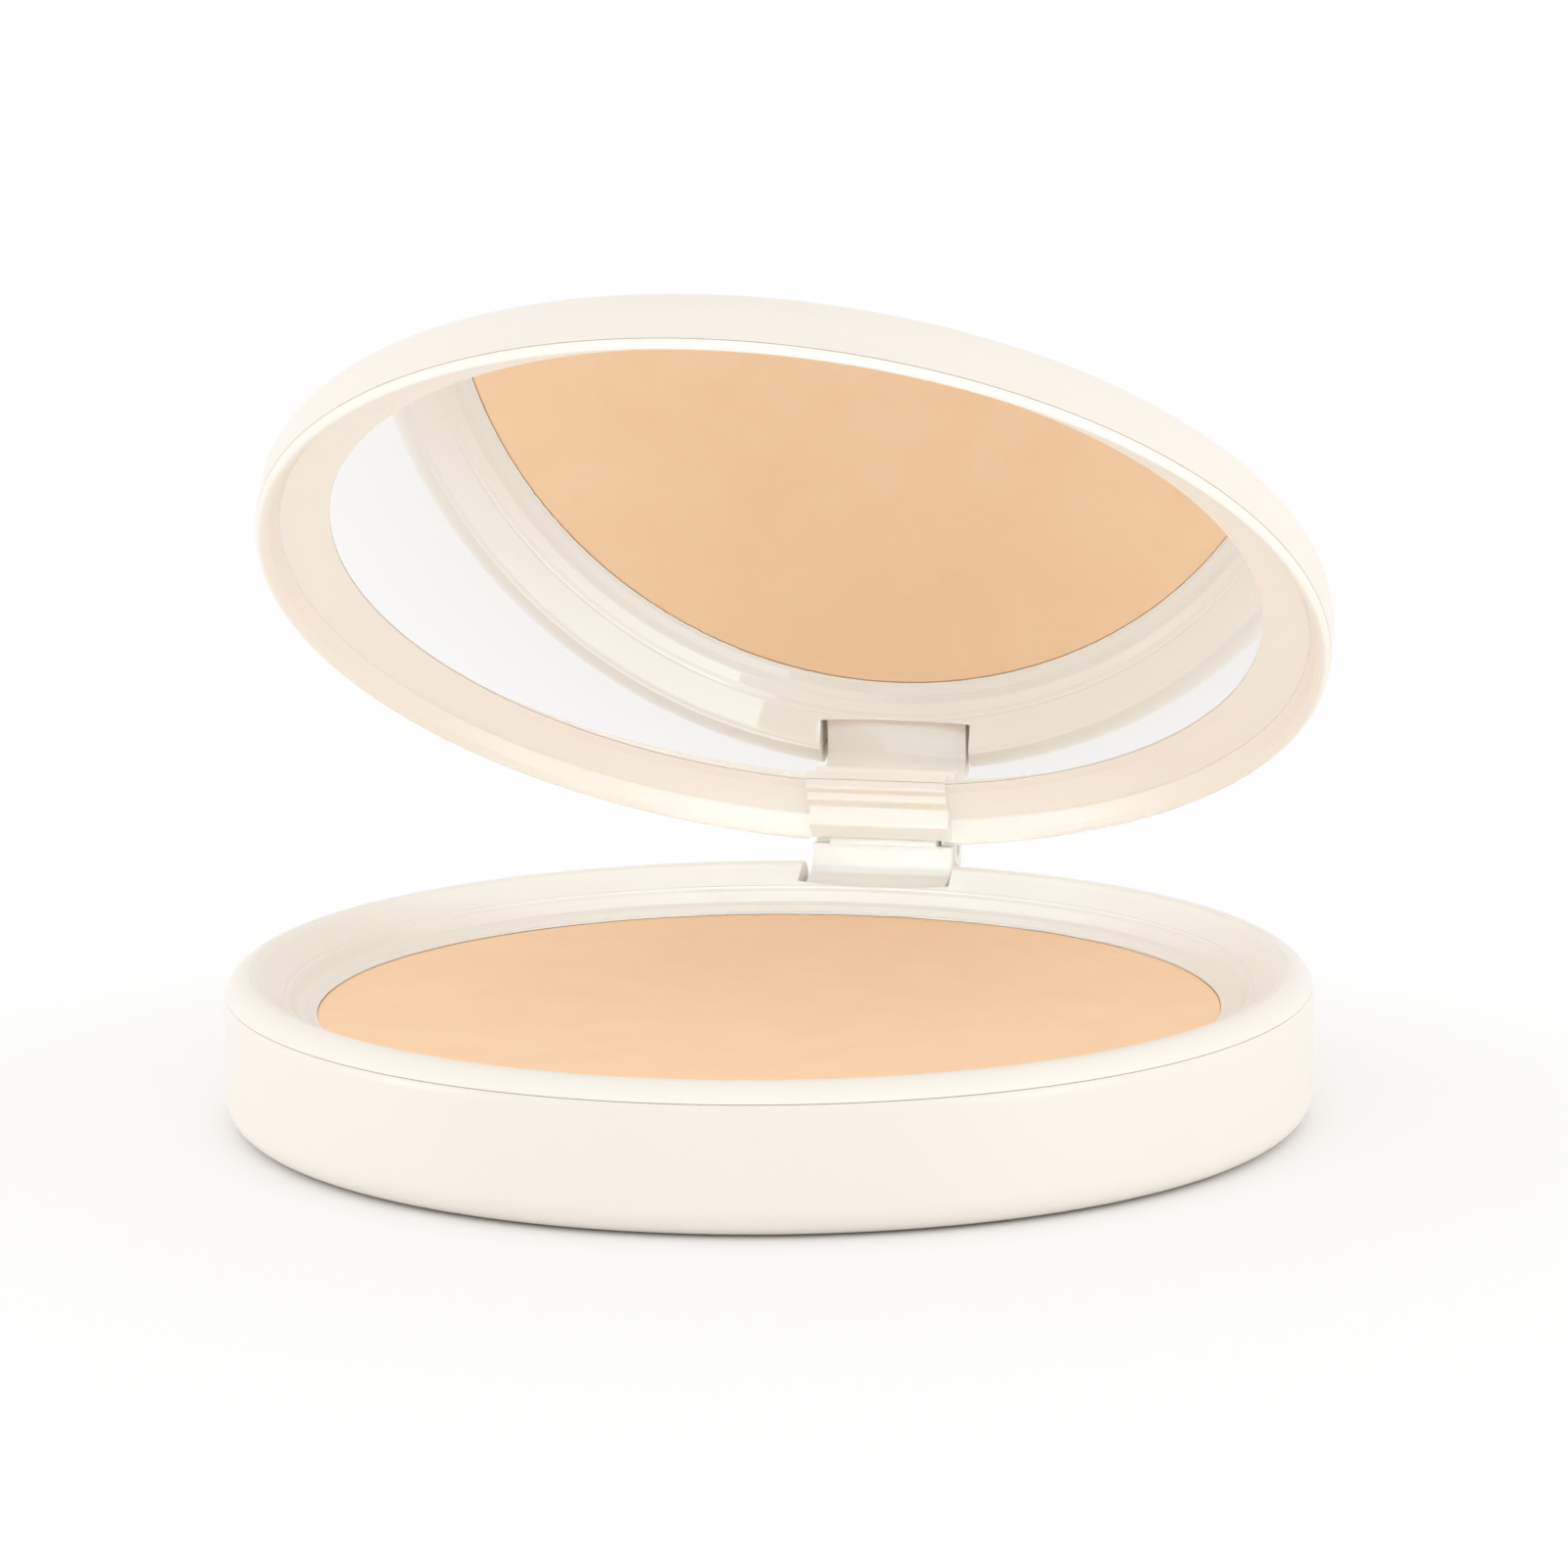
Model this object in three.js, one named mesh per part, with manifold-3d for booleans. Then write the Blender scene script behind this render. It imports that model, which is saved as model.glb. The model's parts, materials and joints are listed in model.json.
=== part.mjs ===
// Round powder compact with a hinged mirror lid, lid part open.
// Millimetres, +Z up. The origin is the middle of the underside, +Y points to the hinge.
import * as THREE from 'three';
import { mergeVertices } from 'three/addons/utils/BufferGeometryUtils.js';
import Module from 'manifold-3d';

const wasm = await Module();
wasm.setup();

// Both halves
const OUTER_RADIUS = 36;
const SHELL_WALL = 1.2;
const SNAP_GAP = 0.15; // sideways room between a shell and the frame snapped into it
const SEAM_GAP = 0.1; // width of the fine seam line around each half
const STACK_GAP = 0.03; // room between flat faces that are stuck together
const LATHE_SEGMENTS = 64;

// Base, heights above the table
const LABEL_RADIUS = 24;
const LABEL_THICKNESS = 0.1;
const BOTTOM_FILLET = 2;
const SHELL_FLOOR = 1.3;
const CUP_CORNER = 1; // bevel inside the shell, where its floor meets the wall
const SHOULDER_RADIUS = 1.9;
const SHOULDER_START = 8.2;
const SHOULDER_END = 100; // degrees up the arc; just past the top, it turns down into the dish
const BASE_SEAM = 8.8;
const TRAY_BOTTOM = 1.5;
const TRAY_FLOOR = 2.5;
const TRAY_WALL = 1;
const TRAY_RADIUS = 30.6;
const SNAP_SKIRT_BOTTOM = 5.6;
const SNAP_SKIRT_WALL = 1.05;
const FLANGE_UNDERSIDE = 6.9;
const DISH_RADIUS = 32.05;
const DISH_HEIGHT = 8.65;
const COVE_RADIUS = 30.6;
const COVE_HEIGHT = 7.62;
const LIP_RADIUS = 29.86;
const LIP_TOP = 7.4;
const LIP_UNDERSIDE = 7.3;

// Refill pan and powder
const GLUE_RADIUS = 26;
const GLUE_THICKNESS = 0.15;
const PAN_RADIUS = 30.3;
const PAN_WALL = 0.35;
const PAN_CORNER = 0.5;
const POWDER_TOP = 7.2;
const POWDER_SIDE_GAP = 0.05;
const POWDER_EDGE_BEVEL = 0.1;

// Lid, heights when it is closed
const LID_TOP = 14.66;
const LID_FILLET = 2.5;
const LID_CEILING = 13.55;
const CEILING_CORNER = 0.9;
const LID_SEAM = 10.45;
const RIM_RADIUS = 35.6;
const RIM_BOTTOM = 9.81;
const RIM_OUTSIDE = 35.9;
const RIM_INNER_RADIUS = 35.3;
const RIM_INNER_HEIGHT = 10;
const RIM_BEVEL_RADIUS = 35;
const RIM_BEVEL_HEIGHT = 10.3;
const CREASE_RADIUS = 34.6;
const CREASE_HEIGHT = 11.22;
const REBATE_WALL = 0.6; // wall of the shell below its inside step
const REBATE_TOP = 11.75;
const BEZEL_RADIUS = 32.1;
const BEZEL_HEIGHT = 12.1;
const MIRROR_LIP_RADIUS = 31.27;
const MIRROR_LIP_FRONT = 12.22;
const MIRROR_LIP_BACK = 12.34;
const POCKET_RADIUS = 32.15;
const POCKET_TOP = 13.3;
const POCKET_WALL = 1.15;
const FRAME_BACK = 12.4;
const MIRROR_RADIUS = 31.95;
const MIRROR_FRONT = 12.38;
const MIRROR_THICKNESS = 1;
const MIRROR_BEVEL = 0.15;
const TAPE_RADIUS = 28;
const TAPE_THICKNESS = 0.11;

// Hinge
const HINGE_Y = 37.5;
const HINGE_Z = 10.64;
const LID_ANGLE = 37.07; // degrees that the lid stands open
const BARREL_RADIUS = 1.15;
const BORE_RADIUS = 0.6;
const PIN_RADIUS = 0.5;
const PIN_LENGTH = 9.7;
const HINGE_WIDTH = 9.9;
const NOTCH_WIDTH = 10.7;
const BASE_NOTCH_FRONT = 32.1;
const SHELL_NOTCH_FRONT = 33;
const FRAME_NOTCH_FRONT = 35.05;
const NOTCH_BACK = 40;
const NOTCH_OVERSHOOT = 1; // how far a notch is cut past the open edge
const BASE_NOTCH_FLOOR = 7.75;
const LID_NOTCH_TOP = 11.85;
const FRAME_NOTCH_TOP = 11.15;
const KNUCKLE_WIDTH = 7.6; // middle knuckle, on the base
const EAR_WIDTH = 1; // each outer knuckle, on the lid
const BARREL_SEGMENTS = 20;
const BORE_SEGMENTS = 16;

const ARC_STEPS = 4;
const SHORT_ARC_STEPS = 2;
const LID_FILLET_STEPS = 5;

const MATERIALS = {
  plastic: { color: 0xf6efe4, roughness: 0.32, metalness: 0 },
  powder: { color: 0xf2caa2, roughness: 0.95, metalness: 0 },
  mirror: { color: 0xf4f5f5, roughness: 0.02, metalness: 1 },
  aluminium: { color: 0xc8cacb, roughness: 0.35, metalness: 1 },
  steel: { color: 0xb4b6b8, roughness: 0.25, metalness: 1 },
  adhesive: { color: 0xe9e6dc, roughness: 0.8, metalness: 0 },
  paper: { color: 0xfbfaf6, roughness: 0.7, metalness: 0 },
};

// Shape helpers -----------------------------------------------------------

// Points on an arc in the radius-height plane, from one angle to another, both ends included.
function arc(centreR, centreZ, radius, fromDegrees, toDegrees, steps = ARC_STEPS) {
  const points = [];
  for (let i = 0; i <= steps; i += 1) {
    const angle = THREE.MathUtils.degToRad(fromDegrees + ((toDegrees - fromDegrees) * i) / steps);
    points.push([centreR + radius * Math.cos(angle), centreZ + radius * Math.sin(angle)]);
  }
  return points;
}

// Keeps only position, joins shared vertices and drops the empty triangles on the axis.
function closedGeometry(geometry) {
  geometry.deleteAttribute('normal');
  geometry.deleteAttribute('uv');
  const merged = mergeVertices(geometry);
  const corners = merged.index.array;
  const kept = [];
  for (let i = 0; i < corners.length; i += 3) {
    const [a, b, c] = [corners[i], corners[i + 1], corners[i + 2]];
    if (a !== b && b !== c && c !== a) {
      kept.push(a, b, c);
    }
  }
  merged.setIndex(kept);
  return merged;
}

// A body turned about Z. The profile runs anticlockwise in the radius-height plane.
function turned(profile) {
  const points = profile.map(([r, z]) => new THREE.Vector2(r, z));
  const geometry = new THREE.LatheGeometry(points, LATHE_SEGMENTS);
  geometry.rotateX(Math.PI / 2);
  return closedGeometry(geometry);
}

// A turned ring: its profile closes on itself instead of meeting the axis.
function turnedRing(profile) {
  return turned([...profile, profile[0]]);
}

// A side outline of (y, z) points pushed along X from fromX to toX.
function sideExtrusion(outline, fromX, toX) {
  const shape = new THREE.Shape(outline.map(([y, z]) => new THREE.Vector2(y, z)));
  const geometry = new THREE.ExtrudeGeometry(shape, { depth: toX - fromX, bevelEnabled: false });
  geometry.translate(0, 0, fromX);
  const yzToWorld = new THREE.Matrix4().makeBasis(
    new THREE.Vector3(0, 1, 0),
    new THREE.Vector3(0, 0, 1),
    new THREE.Vector3(1, 0, 0),
  );
  geometry.applyMatrix4(yzToWorld);
  return closedGeometry(geometry);
}

// A round bar along X on the hinge axis.
function hingeBar(radius, fromX, toX, segments) {
  const geometry = new THREE.CylinderGeometry(radius, radius, toX - fromX, segments);
  geometry.rotateZ(Math.PI / 2);
  geometry.translate((fromX + toX) / 2, HINGE_Y, HINGE_Z);
  return closedGeometry(geometry);
}

// A box given by its width across the hinge, and its Y and Z ranges.
function hingeBox(width, fromY, toY, fromZ, toZ) {
  const geometry = new THREE.BoxGeometry(width, toY - fromY, toZ - fromZ);
  geometry.translate(0, (fromY + toY) / 2, (fromZ + toZ) / 2);
  return closedGeometry(geometry);
}

function solid(geometry) {
  return new wasm.Manifold(new wasm.Mesh({
    numProp: 3,
    vertProperties: geometry.attributes.position.array,
    triVerts: Uint32Array.from(geometry.index.array),
  }));
}

function geometryOf(manifold) {
  const mesh = manifold.getMesh();
  const geometry = new THREE.BufferGeometry();
  geometry.setAttribute('position', new THREE.BufferAttribute(mesh.vertProperties, 3));
  geometry.setIndex(new THREE.BufferAttribute(mesh.triVerts, 1));
  return geometry;
}

function part(name, geometry, material) {
  const mesh = new THREE.Mesh(geometry, new THREE.MeshStandardMaterial(MATERIALS[material]));
  mesh.name = name;
  return mesh;
}

// Base ----------------------------------------------------------------------

// Blank paper label stuck on the underside; the compact stands on it.
function baseLabel() {
  const top = LABEL_THICKNESS;
  const profile = [[0, 0], [LABEL_RADIUS, 0], [LABEL_RADIUS, top], [0, top]];
  return part('base_label', turned(profile), 'paper');
}

// Angle on the shoulder arc where it reaches a given height.
function shoulderAngle(height) {
  return THREE.MathUtils.radToDeg(Math.asin((height - SHOULDER_START) / SHOULDER_RADIUS));
}

// Outer cup of the base: flat floor, rounded foot, plain wall up to the seam.
function baseShell() {
  const bottom = LABEL_THICKNESS + STACK_GAP;
  const inside = OUTER_RADIUS - SHELL_WALL;
  const shoulderCentre = OUTER_RADIUS - SHOULDER_RADIUS;
  const seamAngle = shoulderAngle(BASE_SEAM);
  const profile = [
    [0, bottom],
    ...arc(OUTER_RADIUS - BOTTOM_FILLET, bottom + BOTTOM_FILLET, BOTTOM_FILLET, -90, 0),
    ...arc(shoulderCentre, SHOULDER_START, SHOULDER_RADIUS, 0, seamAngle, SHORT_ARC_STEPS),
    [inside, BASE_SEAM],
    [inside, SHELL_FLOOR + CUP_CORNER],
    [inside - CUP_CORNER, SHELL_FLOOR],
    [0, SHELL_FLOOR],
  ];
  const notch = hingeBox(NOTCH_WIDTH, BASE_NOTCH_FRONT, NOTCH_BACK, BASE_NOTCH_FLOOR, HINGE_Z);
  return part('base_shell', geometryOf(solid(turned(profile)).subtract(solid(notch))), 'plastic');
}

// Side outline of the tongue that rises from the dish into the hinge's front wall.
const BASE_TONGUE = [
  [32, 7.2], [34.1, 7.2], [34.1, 8.1], [36.05, 8.4], [36.05, 11.1], [35.45, 11.1],
  [35.3, 10.9], [35.3, 10.2], [35.1, 9.65], [34.6, 9.25], [33.4, 8.95], [32, 8.6],
];

// Side outline of the thicker middle of that wall and of the web from it to the base's knuckle.
const BASE_WEB = [
  [35.6, 8.5], [36.8, 8.9], [38.2, 9.75], [HINGE_Y, HINGE_Z], [36.5, 11.25], [36.3, 11.55],
  [35.6, 11.55], [35.45, 11.4], [35.45, 9.8],
];

// Tray that snaps into the shell: pan well, dished ring, rounded shoulder and hinge knuckle.
function baseFrame() {
  const skirt = OUTER_RADIUS - SHELL_WALL - SNAP_GAP;
  const shoulderCentre = OUTER_RADIUS - SHOULDER_RADIUS;
  const seam = BASE_SEAM + SEAM_GAP;
  const profile = [
    [0, TRAY_BOTTOM],
    [TRAY_RADIUS + TRAY_WALL, TRAY_BOTTOM],
    [TRAY_RADIUS + TRAY_WALL, FLANGE_UNDERSIDE],
    [skirt - SNAP_SKIRT_WALL, FLANGE_UNDERSIDE],
    [skirt - SNAP_SKIRT_WALL, SNAP_SKIRT_BOTTOM],
    [skirt, SNAP_SKIRT_BOTTOM],
    [skirt, seam],
    ...arc(shoulderCentre, SHOULDER_START, SHOULDER_RADIUS, shoulderAngle(seam), SHOULDER_END),
    [DISH_RADIUS, DISH_HEIGHT],
    [COVE_RADIUS, COVE_HEIGHT],
    [LIP_RADIUS, LIP_TOP],
    [LIP_RADIUS, LIP_UNDERSIDE],
    [TRAY_RADIUS, LIP_UNDERSIDE],
    [TRAY_RADIUS, TRAY_FLOOR],
    [0, TRAY_FLOOR],
  ];
  const notch = hingeBox(NOTCH_WIDTH, BASE_NOTCH_FRONT, NOTCH_BACK, BASE_NOTCH_FLOOR, HINGE_Z);
  const half = KNUCKLE_WIDTH / 2;
  const body = solid(turned(profile))
    .subtract(solid(notch))
    .add(solid(sideExtrusion(BASE_TONGUE, -HINGE_WIDTH / 2, HINGE_WIDTH / 2)))
    .add(solid(sideExtrusion(BASE_WEB, -half, half)))
    .add(solid(hingeBar(BARREL_RADIUS, -half, half, BARREL_SEGMENTS)))
    .subtract(solid(hingeBar(BORE_RADIUS, -HINGE_WIDTH, HINGE_WIDTH, BORE_SEGMENTS)));
  return part('base_frame', geometryOf(body), 'plastic');
}

// Disc of glue that holds the pan in the tray.
function panGlue() {
  const bottom = TRAY_FLOOR + STACK_GAP;
  const top = bottom + GLUE_THICKNESS;
  const profile = [[0, bottom], [GLUE_RADIUS, bottom], [GLUE_RADIUS, top], [0, top]];
  return part('pan_glue', turned(profile), 'adhesive');
}

const PAN_BOTTOM = TRAY_FLOOR + GLUE_THICKNESS + 2 * STACK_GAP;

// Pressed aluminium pan, open at the top.
function powderPan() {
  const inside = PAN_RADIUS - PAN_WALL;
  const floor = PAN_BOTTOM + PAN_WALL;
  const profile = [
    [0, PAN_BOTTOM],
    [PAN_RADIUS - PAN_CORNER, PAN_BOTTOM],
    [PAN_RADIUS, PAN_BOTTOM + PAN_CORNER],
    [PAN_RADIUS, POWDER_TOP],
    [inside, POWDER_TOP],
    [inside, floor + PAN_CORNER],
    [inside - PAN_CORNER, floor],
    [0, floor],
  ];
  return part('powder_pan', turned(profile), 'aluminium');
}

// Pressed powder cake, level with the rim of its pan.
function pressedPowder() {
  const radius = PAN_RADIUS - PAN_WALL - POWDER_SIDE_GAP;
  const bottom = PAN_BOTTOM + PAN_WALL + STACK_GAP;
  const profile = [
    [0, bottom],
    [radius - PAN_CORNER, bottom],
    [radius, bottom + PAN_CORNER],
    [radius, POWDER_TOP - POWDER_EDGE_BEVEL],
    [radius - POWDER_EDGE_BEVEL, POWDER_TOP],
    [0, POWDER_TOP],
  ];
  return part('pressed_powder', turned(profile), 'powder');
}

// Steel pin, shorter than the hinge so that its ends sit inside the ears.
function hingePin() {
  const half = PIN_LENGTH / 2;
  return part('hinge_pin', hingeBar(PIN_RADIUS, -half, half, BORE_SEGMENTS), 'steel');
}

// Lid, drawn closed -----------------------------------------------------------

// Outer cover of the lid: flat top, rounded edge and plain wall, with a step inside for the frame.
function lidShell() {
  const inside = OUTER_RADIUS - SHELL_WALL;
  const seam = LID_SEAM + SEAM_GAP;
  const profile = [
    [0, LID_CEILING],
    [inside - CEILING_CORNER, LID_CEILING],
    [inside, LID_CEILING - CEILING_CORNER],
    [inside, REBATE_TOP],
    [OUTER_RADIUS - REBATE_WALL, REBATE_TOP],
    [OUTER_RADIUS - REBATE_WALL, seam],
    [OUTER_RADIUS, seam],
    ...arc(OUTER_RADIUS - LID_FILLET, LID_TOP - LID_FILLET, LID_FILLET, 0, 90, LID_FILLET_STEPS),
    [0, LID_TOP],
  ];
  const notch = hingeBox(NOTCH_WIDTH, SHELL_NOTCH_FRONT, NOTCH_BACK, RIM_BOTTOM, LID_NOTCH_TOP);
  return part('lid_shell', geometryOf(solid(turned(profile)).subtract(solid(notch))), 'plastic');
}

// Side outline of the stepped block that runs from the mirror's edge to the hinge.
const LID_BLOCK = [
  [30.7, 12.1], [30.75, 11.85], [30.9, 11.7], [31.3, 11.7], [31.4, 11.8], [31.65, 11.8],
  [31.8, 11.35], [31.9, 11.3], [32.8, 11.3], [33.1, 10.9], [33.2, 10.35], [33.4, 10.15],
  [34.9, 9.97], [35.05, 10.12], [35.05, 11.22], [34.2, 11.22], [34.2, 12.25], [30.7, 12.25],
];

// Side outline of each arm that runs from the lid's block over the base's wall to an ear.
const LID_ARM = [
  [34.2, 11.3], [36.5, 11.3], [37, 10.4], [38.39, 9.63], [39.17, 10.22], [38.39, 11.32],
  [HINGE_Y, 11.79], [36.3, 11.78], [34.2, 11.75],
];

// Frame that snaps into the lid shell: rim, mirror bezel, stepped block and two hinge ears.
function lidFrame() {
  const skirt = OUTER_RADIUS - SHELL_WALL - SNAP_GAP;
  const wideSkirt = OUTER_RADIUS - REBATE_WALL - SNAP_GAP;
  const profile = [
    [RIM_RADIUS, RIM_BOTTOM],
    [RIM_OUTSIDE, RIM_BOTTOM + RIM_OUTSIDE - RIM_RADIUS],
    [RIM_OUTSIDE, LID_SEAM],
    [wideSkirt, LID_SEAM],
    [wideSkirt, REBATE_TOP - SEAM_GAP],
    [skirt, REBATE_TOP - SEAM_GAP],
    [skirt, FRAME_BACK],
    [POCKET_RADIUS + POCKET_WALL, FRAME_BACK],
    [POCKET_RADIUS + POCKET_WALL, POCKET_TOP],
    [POCKET_RADIUS, POCKET_TOP],
    [POCKET_RADIUS, MIRROR_LIP_BACK],
    [MIRROR_LIP_RADIUS, MIRROR_LIP_BACK],
    [MIRROR_LIP_RADIUS, MIRROR_LIP_FRONT],
    [BEZEL_RADIUS, BEZEL_HEIGHT],
    [CREASE_RADIUS, CREASE_HEIGHT],
    [RIM_BEVEL_RADIUS, RIM_BEVEL_HEIGHT],
    [RIM_INNER_RADIUS, RIM_INNER_HEIGHT],
  ];
  const notchBottom = RIM_BOTTOM - NOTCH_OVERSHOOT;
  const notch = hingeBox(NOTCH_WIDTH, FRAME_NOTCH_FRONT, NOTCH_BACK, notchBottom, FRAME_NOTCH_TOP);
  const half = HINGE_WIDTH / 2;
  let body = solid(turnedRing(profile))
    .subtract(solid(notch))
    .add(solid(sideExtrusion(LID_BLOCK, -half, half)));
  for (const fromX of [-half, half - EAR_WIDTH]) {
    body = body
      .add(solid(sideExtrusion(LID_ARM, fromX, fromX + EAR_WIDTH)))
      .add(solid(hingeBar(BARREL_RADIUS, fromX, fromX + EAR_WIDTH, BARREL_SEGMENTS)));
  }
  body = body.subtract(solid(hingeBar(BORE_RADIUS, -HINGE_WIDTH, HINGE_WIDTH, BORE_SEGMENTS)));
  return part('lid_frame', geometryOf(body), 'plastic');
}

// Round mirror held behind the frame's lip.
function mirror() {
  const back = MIRROR_FRONT + MIRROR_THICKNESS;
  const profile = [
    [0, MIRROR_FRONT],
    [MIRROR_RADIUS - MIRROR_BEVEL, MIRROR_FRONT],
    [MIRROR_RADIUS, MIRROR_FRONT + MIRROR_BEVEL],
    [MIRROR_RADIUS, back],
    [0, back],
  ];
  return part('mirror', turned(profile), 'mirror');
}

// Disc of double-sided tape between the mirror and the lid shell.
function mirrorTape() {
  const bottom = MIRROR_FRONT + MIRROR_THICKNESS + STACK_GAP;
  const top = bottom + TAPE_THICKNESS;
  const profile = [[0, bottom], [TAPE_RADIUS, bottom], [TAPE_RADIUS, top], [0, top]];
  return part('mirror_tape', turned(profile), 'adhesive');
}

// Assembly ----------------------------------------------------------------------

const lid = new THREE.Group();
lid.add(lidShell(), lidFrame(), mirror(), mirrorTape());
lid.position.set(0, -HINGE_Y, -HINGE_Z);

const hinge = new THREE.Group();
hinge.position.set(0, HINGE_Y, HINGE_Z);
hinge.rotation.x = -THREE.MathUtils.degToRad(LID_ANGLE);
hinge.add(lid);

const compact = new THREE.Group();
compact.add(baseLabel(), baseShell(), baseFrame(), panGlue(), powderPan(), pressedPowder());
compact.add(hingePin(), hinge);

export default compact;
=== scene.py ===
"""Looks of the round powder compact: cream plastic halves, pressed powder, mirror lid part open."""

import json
import math

import bmesh
import bpy
from mathutils import Matrix, Vector, noise


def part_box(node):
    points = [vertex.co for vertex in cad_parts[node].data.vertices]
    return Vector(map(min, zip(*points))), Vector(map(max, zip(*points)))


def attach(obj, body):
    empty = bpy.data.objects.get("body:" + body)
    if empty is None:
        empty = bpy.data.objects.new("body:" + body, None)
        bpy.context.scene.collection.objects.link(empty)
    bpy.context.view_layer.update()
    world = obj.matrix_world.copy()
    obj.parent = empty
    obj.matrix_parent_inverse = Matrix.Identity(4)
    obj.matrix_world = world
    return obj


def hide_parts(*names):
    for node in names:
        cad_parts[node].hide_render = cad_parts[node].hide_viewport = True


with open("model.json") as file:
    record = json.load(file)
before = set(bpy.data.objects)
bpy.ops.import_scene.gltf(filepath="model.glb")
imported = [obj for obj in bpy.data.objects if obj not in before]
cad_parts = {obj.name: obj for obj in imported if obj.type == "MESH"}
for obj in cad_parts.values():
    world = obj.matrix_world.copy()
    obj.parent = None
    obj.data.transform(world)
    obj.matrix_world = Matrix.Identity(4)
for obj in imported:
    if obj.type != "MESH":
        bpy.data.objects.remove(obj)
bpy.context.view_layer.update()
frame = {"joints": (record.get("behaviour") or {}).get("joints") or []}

MM = 0.001
HINGE = frame["joints"][0]
PIVOT = Vector(HINGE["pos_m"])
OPEN_ANGLE = -math.radians(HINGE["range_deg"][0])  # how far the lid stands open at rest
TO_REST = (
    Matrix.Translation(PIVOT)
    @ Matrix.Rotation(OPEN_ANGLE, 4, Vector(HINGE["axis"]))
    @ Matrix.Translation(-PIVOT)
)
PIVOT_Y = PIVOT.y / MM
PIVOT_Z = PIVOT.z / MM

# Both halves, millimetres
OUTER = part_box("base_shell")[1].x / MM
INSIDE = OUTER - 1.2
SKIRT = INSIDE - 0.15  # outside of each frame, with room to snap into its shell
SEAM = 0.02
SEAM_BEVEL = 0.2

# How finely shapes are drawn
RING_STEPS = 288
BAR_STEPS = 48
CORNER_STEP = math.radians(9)
SUPPORT = 0.05  # distance of the loop that keeps a flat face flat beside a round corner
SHARP = math.radians(35)
EDGE_ROUNDING = 0.08

# Base
LABEL_RADIUS = 24
LABEL_TOP = 0.1
SHELL_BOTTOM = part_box("base_shell")[0].z / MM
FLOOR_TOP = 1.3
FOOT_RADIUS = 2
FOOT_STEPS = 12
SHOULDER = 1.9
SHOULDER_START = 8.2
SHOULDER_END = 78  # degrees up the arc, where the shoulder turns into the flat crest
SHOULDER_STEPS = 12
SHELL_SHOULDER_STEPS = 3
BASE_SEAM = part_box("base_shell")[1].z / MM
POWDER_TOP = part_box("pressed_powder")[1].z / MM
POWDER_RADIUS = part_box("pressed_powder")[1].x / MM
PAN_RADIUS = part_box("powder_pan")[1].x / MM
PAN_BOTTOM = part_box("powder_pan")[0].z / MM
PAN_WALL = 0.35
PAN_CORNER = 0.5
CAKE_BOTTOM = PAN_BOTTOM + 0.38
CAKE_EDGE = 0.25  # width of the cake's worn edge
CAKE_RINGS = 70
CAKE_SWELL = 0.012  # height of the cake's wide unevenness
CAKE_GRAIN = 0.008  # height of its fine unevenness
TRAY_BOTTOM = 1.5
TRAY_FLOOR = 2.5
TRAY_INSIDE = 30.6
TRAY_OUTSIDE = 31.6
TRAY_LIP = 29.87
FLANGE_UNDERSIDE = 6.9
SNAP_SKIRT_BOTTOM = 5.6
SNAP_SKIRT_WALL = 1.05
GLUE_RADIUS = 26
GLUE_BOTTOM = 2.53
GLUE_TOP = 2.68

# Lid, heights with the lid closed
LID_TOP = 14.66
LID_FILLET = 2.5
LID_FILLET_STEPS = 14
LID_CEILING = 13.55
CEILING_CORNER = 0.9
LID_SEAM = 10.45
REBATE = OUTER - 0.6
REBATE_TOP = 11.75
WIDE_SKIRT = REBATE - 0.15
RIM_OUTSIDE = 35.95
FRAME_BACK = 12.4
POCKET_RADIUS = 32.15
POCKET_OUTSIDE = 33.3
POCKET_TOP = 13.3
BEZEL_FRONT = 12.365
BEZEL_RADIUS = 31.27
MIRROR_FRONT = 12.38
MIRROR_THICKNESS = 1
MIRROR_RADIUS = 31.95
TAPE_RADIUS = 28
TAPE_BOTTOM = 13.41
TAPE_TOP = 13.52

# Hinge
HALF_HINGE = 4.95
HALF_NOTCH = 5.35
HALF_KNUCKLE = 3.8
NOTCH_BACK = 40
NOTCH_ROUNDING = 0.25
BASE_NOTCH = (32.1, 7.75, 12)  # front, bottom and top of each notch for the hinge
SHELL_NOTCH = (33, 9, 11.85)
FRAME_NOTCH = (35.05, 8.5, 11.15)
EAR = 1.0
BARREL = 1.15
BORE = 0.55
BORE_HALF = 9
PIN_RADIUS = 0.5
PIN_HALF = 4.85
PIN_BEVEL = 0.15


# Outlines ---------------------------------------------------------------------------

def rounded_corner(before, corner, after, radius):
    """Points of a round corner, from one tangent point to the other."""
    to_before = (before - corner).normalized()
    to_after = (after - corner).normalized()
    half = to_before.angle(to_after) / 2
    reach = radius / math.tan(half)
    reach = min(reach, (before - corner).length * 0.48, (after - corner).length * 0.48)
    radius = reach * math.tan(half)
    centre = corner + (to_before + to_after).normalized() * (radius / math.sin(half))
    start = corner + to_before * reach - centre
    end = corner + to_after * reach - centre
    turn = start.angle_signed(end)
    steps = max(2, math.ceil(abs(turn) / CORNER_STEP))
    return [centre + start @ Matrix.Rotation(turn * i / steps, 2) for i in range(steps + 1)]


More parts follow.
